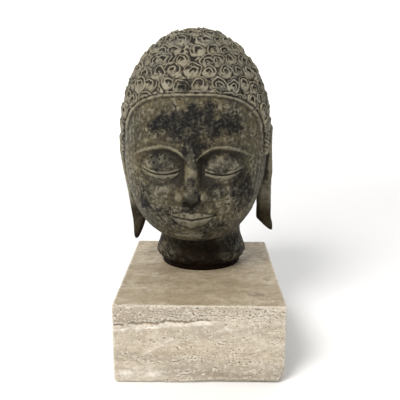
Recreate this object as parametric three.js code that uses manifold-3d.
// A carved stone Buddha head on a travertine base, near life size.
// Millimetres, +Z up, the face looks along -Y. The origin is the middle of the base's underside.
import * as THREE from "three";
import { mergeVertices } from "three/addons/utils/BufferGeometryUtils.js";
import Module from "manifold-3d";

const wasm = await Module();
wasm.setup();

// Driving dimensions of the base.
const BASE_WIDTH = 178;
const BASE_DEPTH = 230;
const BASE_HEIGHT = 87;
const BASE_BEVEL = 1.5;
const JOINT_GAP = 0.3; // the dry bed between the neck and the base

// Driving dimensions of the head, above the neck's foot. The hair stands proud of these.
const SKULL = { halfWidth: 84, front: 80, back: 93, widestHeight: 165, crown: 277, chin: 38, jawForward: 13 };
const HEAD_TURN = -2; // degrees about the vertical: the face looks slightly to -X
const HEAD_ON_BASE = { x: -7, y: 18 }; // the head's axis, off the middle of the base
const NECK = { x: 0, y: 40, topRadius: 48.5, rimRadius: 55, rimHeight: 8, footRadius: 48.5, top: 100 };

// The face in equal thirds from the hairline to the chin, and five eyes wide.
const HAIRLINE = 207;
const FACE_THIRD = (HAIRLINE - SKULL.chin) / 3;
const BROW = HAIRLINE - FACE_THIRD;
const NOSE_BASE = BROW - FACE_THIRD;
const EYE_WIDTH = (2 * SKULL.halfWidth) / 5;
const EYE_LINE = BROW - FACE_THIRD / 3;
const MOUTH_LINE = NOSE_BASE - FACE_THIRD / 3;
const MOUTH_HALF_WIDTH = 0.75 * EYE_WIDTH;

// The hair is a cap of curls, standing proud of the skin round a squarish arch.
const HAIR_RISE = 1.6;
const HAIR_ARCH = { halfWidth: 75, springing: 140 };
const NAPE = 66;
const CURL_RISE = 3.6;
const CURL_REACH = 1.45; // cells of the net, from a curl's middle to its edge

// The ears, with long lobes that hang clear of the jaw like fins. The two differ in height and in their tips.
// spread is how much thicker a lobe grows with each millimetre above its tip.
const EAR = { outer: 93, y: 6, thickness: 20, halfDepth: 17, lobeHalfDepth: 11, tipThickness: 5 };
const LEFT_EAR = { side: -1, top: 170, tip: { x: 76.5, z: 27.5 }, spread: 0.5 };
const RIGHT_EAR = { side: 1, top: 180, tip: { x: 95, z: 41.5 }, spread: 0.95 };
const EAR_RINGS = 13;
const EAR_SIDES = 12;

// The head's skin is a net of rays from one inner point that sees all of it.
const INNER_POINT = new THREE.Vector3(0, -18, 150);
const NET_CELLS = [28, 24, 28]; // along x, y and z, each a multiple of four so that the curls meet

const clamp = (v) => Math.min(Math.max(v, 0), 1);
const mix = (a, b, t) => a + (b - a) * t;
const swell = (d, width) => Math.exp(-((d / width) ** 2));
const dome = (t, power) => (1 - clamp(t) ** power) ** (1 / power);
const step = (from, to, v) => {
  const t = clamp((v - from) / (to - from));
  return t * t * (3 - 2 * t);
};

// Less than zero inside the egg of the bare skull and jaw.
function skullField(p) {
  const above = p.z > SKULL.widestHeight;
  const rise = above
    ? (p.z - SKULL.widestHeight) / (SKULL.crown - SKULL.widestHeight)
    : (SKULL.widestHeight - p.z) / (SKULL.widestHeight - SKULL.chin);
  const y = p.y + (above ? 0 : SKULL.jawForward * clamp(rise) ** 2);
  const corner = y < 0 ? 2.3 : 2.05;
  const depth = y < 0 ? SKULL.front : SKULL.back;
  const girth = Math.abs(p.x / SKULL.halfWidth) ** corner + Math.abs(y / depth) ** corner;
  const power = above ? 2.05 : 2.5;
  return girth ** (power / corner) + rise ** power - 1;
}

function skinPoint(direction) {
  let inside = 0;
  let outside = SKULL.crown;
  const p = new THREE.Vector3();
  for (let i = 0; i < 40; i++) {
    const reach = (inside + outside) / 2;
    p.copy(INNER_POINT).addScaledVector(direction, reach);
    if (skullField(p) < 0) inside = reach;
    else outside = reach;
  }
  return p;
}

// The brow's arch, from the bridge of the nose out to the temple.
function browHeightAt(side) {
  const peak = 0.9 * EYE_WIDTH;
  const inner = 0.021 * Math.max(peak - side, 0) ** 2;
  const outer = 0.0085 * Math.max(side - peak, 0) ** 2;
  return BROW + 3 - inner - outer;
}

function noseRelief(side, z) {
  const root = BROW - 2;
  const tip = NOSE_BASE + 8;
  const t = clamp((root - z) / (root - tip));
  const ridge = mix(3.2, 15, t ** 1.05) * Math.exp(-((side / mix(6.6, 10.5, t ** 1.5)) ** 2.1));
  const ball = 2.6 * swell(side, 8) * swell(z - tip - 1, 8);
  const wing = 8.6 * swell(side - 0.37 * EYE_WIDTH, 5.6) * swell(z - NOSE_BASE - 6, 7.2);
  const under = step(NOSE_BASE - 4.5, NOSE_BASE + 6.5, z);
  const fade = 1 - step(root - 4, root + 16, z);
  return Math.max(ridge + ball, wing) * under * fade;
}

function eyeRelief(side, z) {
  const below = browHeightAt(side) - z;
  const reach = step(4, 11, side) * (1 - step(1.45 * EYE_WIDTH, 2.05 * EYE_WIDTH, side));
  const depth = mix(8.5, 3, step(0.4 * EYE_WIDTH, 1.6 * EYE_WIDTH, side));
  const fall = 1 - Math.exp(-Math.max(below, 0) / 4.5);
  const socket = reach * (1.3 * swell(below, 2.2) - depth * fall * step(EYE_LINE - 27, EYE_LINE - 5, z));
  const across = (0.8 * (side - EYE_WIDTH)) / (0.56 * EYE_WIDTH);
  const ball = 1 - across ** 2 - ((z - EYE_LINE + 1) / 18) ** 2;
  return socket + 8.6 * Math.max(0, ball) ** 1.3;
}

function mouthRelief(side, z) {
  const corner = clamp(side / MOUTH_HALF_WIDTH);
  const line = MOUTH_LINE + 3.2 * corner ** 2;
  const inLips = 1 - corner ** 2.2;
  const muzzle = 4 * swell(side, 33) * swell(z - MOUTH_LINE, 25);
  const upper = 3.6 * inLips * swell(z - line - 4, 4);
  const lower = 4.2 * inLips * swell(z - line + 5, 4.5);
  const crease = -2.4 * swell(side, 17) * swell(z - MOUTH_LINE + 16.5, 5.4);
  return muzzle + upper + lower + crease;
}

function faceRelief(p) {
  const side = Math.abs(p.x);
  const chin = 6.5 * swell(side, 17) * swell(p.z - SKULL.chin - 15, 12);
  const cheek = 2.6 * swell(side - 1.2 * EYE_WIDTH, 20) * swell(p.z - NOSE_BASE - 6, 24);
  return noseRelief(side, p.z) + eyeRelief(side, p.z) + mouthRelief(side, p.z) + chin + cheek;
}

// 1 in the hair, 0 on the face, on the skin before the ears and below the nape.
function hairShare(p) {
  const across = Math.abs(p.x) / HAIR_ARCH.halfWidth;
  const rise = Math.max(0, p.z - HAIR_ARCH.springing) / (HAIRLINE - HAIR_ARCH.springing);
  const beyondArch = p.y > 0 ? 1 : step(0.95, 1.05, (across ** 3.2 + rise ** 3.2) ** (1 / 3.2));
  const behindEar = step(14, 26, p.y);
  const aboveEar = step(HAIR_ARCH.springing - 6, HAIR_ARCH.springing + 6, p.z);
  return beyondArch * Math.max(aboveEar, behindEar) * step(NAPE - 5, NAPE + 5, p.z);
}

// Curls sit at every fourth crossing of the net, each row shifted by half. i and j are crossings.
function curlRelief(i, j) {
  let nearest = Infinity;
  for (let a = i - 2; a <= i + 2; a++) {
    for (let b = j - 2; b <= j + 2; b++) {
      const isMiddle = a % 2 === 0 && b % 2 === 0 && (a + b) % 4 === 0;
      if (isMiddle) nearest = Math.min(nearest, Math.hypot(a - i, b - j));
    }
  }
  return CURL_RISE * dome(nearest / CURL_REACH, 2);
}

function carvedPoint(direction, i, j) {
  const p = skinPoint(direction);
  const hair = hairShare(p);
  const face = (1 - hair) * step(0, 30, -p.y) * faceRelief(p);
  p.addScaledVector(direction, hair * (HAIR_RISE + curlRelief(i, j)));
  p.y -= face;
  return p;
}

function closedGeometry(points, index) {
  const geometry = new THREE.BufferGeometry().setFromPoints(points);
  geometry.setIndex(index);
  return mergeVertices(geometry, 1e-3);
}

// The six sides of a cube, as a net of directions, carried out to the skin.
function skullGeometry() {
  const points = [];
  const index = [];
  const units = [new THREE.Vector3(1, 0, 0), new THREE.Vector3(0, 1, 0), new THREE.Vector3(0, 0, 1)];
  const spread = (k, cells) => Math.tan((Math.PI / 4) * ((2 * k) / cells - 1));
  for (let axis = 0; axis < 3; axis++) {
    const u = (axis + 1) % 3;
    const v = (axis + 2) % 3;
    for (const sign of [-1, 1]) {
      const first = points.length;
      for (let i = 0; i <= NET_CELLS[u]; i++) {
        for (let j = 0; j <= NET_CELLS[v]; j++) {
          const direction = units[axis].clone().multiplyScalar(sign);
          direction.addScaledVector(units[u], spread(i, NET_CELLS[u]));
          direction.addScaledVector(units[v], spread(j, NET_CELLS[v]));
          points.push(carvedPoint(direction.normalize(), i, j));
        }
      }
      for (let i = 0; i < NET_CELLS[u]; i++) {
        for (let j = 0; j < NET_CELLS[v]; j++) {
          const a = first + i * (NET_CELLS[v] + 1) + j;
          const b = a + NET_CELLS[v] + 1;
          const corners = sign > 0 ? [a, b, b + 1, a + 1] : [a, a + 1, b + 1, b];
          const k = (i + j) % 2; // each curl's middle lies on the split of all four cells about it
          index.push(corners[k], corners[k + 1], corners[k + 2]);
          index.push(corners[k], corners[k + 2], corners[(k + 3) % 4]);
        }
      }
    }
  }
  return closedGeometry(points, index);
}

// A closed skin over a stack of rings, with a point at either end.
function loft(start, rings, end) {
  const sides = rings[0].length;
  const points = [start, ...rings.flat(), end];
  const last = points.length - 1;
  const tail = 1 + (rings.length - 1) * sides;
  const index = [];
  for (let k = 0; k < sides; k++) {
    const next = (k + 1) % sides;
    index.push(0, 1 + next, 1 + k, last, tail + k, tail + next);
    for (let r = 0; r + 1 < rings.length; r++) {
      const a = 1 + r * sides;
      index.push(a + k, a + next, a + sides + next, a + k, a + sides + next, a + sides + k);
    }
  }
  return closedGeometry(points, index);
}

// t runs from the ear's top to the lobe's tip. The lobe's lower edge runs up and inwards to the jaw.
function earGeometry({ side, top, tip, spread }) {
  const outerAt = (t) => mix(EAR.outer, tip.x, clamp((t - 0.2) / 0.8)) - 9 * (1 - step(0, 0.09, t));
  const heightAt = (t) => mix(top, tip.z, t);
  const end = (t) => {
    return new THREE.Vector3(side * (outerAt(t) - EAR.tipThickness / 4), EAR.y + 8 * t, heightAt(t));
  };
  const rings = [];
  for (let r = 1; r < EAR_RINGS; r++) {
    const t = (1 - Math.cos((Math.PI * r) / EAR_RINGS)) / 2;
    const ends = Math.min(dome(1 - t / 0.2, 2), dome((t - 0.9) / 0.1, 2.2));
    const halfDepth = mix(EAR.halfDepth, EAR.lobeHalfDepth, step(0.3, 0.6, t)) * ends;
    const fin = EAR.tipThickness + spread * (heightAt(t) - tip.z);
    const halfThickness = (Math.min(EAR.thickness, fin) / 2) * mix(0.5, 1, ends);
    const hollow = 4 * step(0.04, 0.16, t) * (1 - step(0.8, 0.92, t));
    const ring = [];
    for (let k = 0; k < EAR_SIDES; k++) {
      const angle = (2 * Math.PI * k) / EAR_SIDES;
      const outward = Math.cos(angle);
      const flat = Math.sign(outward) * Math.sqrt(Math.abs(outward));
      const dent = hollow * step(0.7, 1, outward);
      const x = side * (outerAt(t) + halfThickness * (flat - 1) - dent);
      ring.push(new THREE.Vector3(x, EAR.y + 8 * t - side * halfDepth * Math.sin(angle), heightAt(t)));
    }
    rings.push(ring);
  }
  return loft(end(0), rings, end(1));
}

// The neck, flared downwards to a rim, drawn in below it and undercut at its foot.
function neckGeometry() {
  const profile = [
    new THREE.Vector2(0, 0),
    new THREE.Vector2(NECK.footRadius, 0),
    new THREE.Vector2(NECK.footRadius, NECK.rimHeight - 1),
    new THREE.Vector2(NECK.rimRadius - 3.2, NECK.rimHeight),
    new THREE.Vector2(NECK.rimRadius, NECK.rimHeight + 8),
    new THREE.Vector2(mix(NECK.rimRadius, NECK.topRadius, 0.5), (NECK.rimHeight + SKULL.chin) / 2 + 5),
    new THREE.Vector2(NECK.topRadius, SKULL.chin + 4),
    new THREE.Vector2(NECK.topRadius, NECK.top),
    new THREE.Vector2(0, NECK.top),
  ];
  const neck = new THREE.LatheGeometry(profile, 40);
  neck.deleteAttribute("normal");
  neck.deleteAttribute("uv");
  return mergeVertices(neck.rotateX(Math.PI / 2).translate(NECK.x, NECK.y, 0), 1e-3);
}

function solidOf(geometry) {
  const vertProperties = new Float32Array(geometry.getAttribute("position").array);
  const triVerts = new Uint32Array(geometry.index.array);
  return new wasm.Manifold(new wasm.Mesh({ numProp: 3, vertProperties, triVerts }));
}

function geometryOf(solid) {
  const mesh = solid.getMesh();
  const geometry = new THREE.BufferGeometry();
  geometry.setAttribute("position", new THREE.BufferAttribute(mesh.vertProperties, 3));
  geometry.setIndex(new THREE.BufferAttribute(mesh.triVerts, 1));
  geometry.computeVertexNormals();
  return geometry;
}

// Turned as the head is, on its own axis.
function posed(geometry) {
  const turn = THREE.MathUtils.degToRad(HEAD_TURN);
  return solidOf(geometry.rotateZ(turn).translate(HEAD_ON_BASE.x, HEAD_ON_BASE.y, 0));
}

function headGeometry() {
  const carved = posed(skullGeometry())
    .add(posed(earGeometry(LEFT_EAR)))
    .add(posed(earGeometry(RIGHT_EAR)))
    .add(solidOf(neckGeometry()));
  return geometryOf(carved);
}

// The base, sawn square, with its edges eased.
function baseGeometry() {
  const x = BASE_WIDTH / 2 - BASE_BEVEL;
  const y = BASE_DEPTH / 2 - BASE_BEVEL;
  const outline = new THREE.Shape();
  outline.moveTo(-x, -y);
  outline.lineTo(x, -y);
  outline.lineTo(x, y);
  outline.lineTo(-x, y);
  outline.closePath();
  const bevel = { bevelThickness: BASE_BEVEL, bevelSize: BASE_BEVEL, bevelSegments: 2 };
  const block = new THREE.ExtrudeGeometry(outline, { depth: BASE_HEIGHT - 2 * BASE_BEVEL, ...bevel });
  return block.translate(0, 0, BASE_BEVEL);
}

const statue = new THREE.Group();

const darkStone = new THREE.MeshStandardMaterial({ color: 0x5b5545, roughness: 0.85, metalness: 0 });
const head = new THREE.Mesh(headGeometry(), darkStone);
head.name = "stone_head";
head.position.z = BASE_HEIGHT + JOINT_GAP;
statue.add(head);

const travertine = new THREE.MeshStandardMaterial({ color: 0xb9a98c, roughness: 0.8, metalness: 0 });
const base = new THREE.Mesh(baseGeometry(), travertine);
base.name = "travertine_base";
statue.add(base);

export default statue;
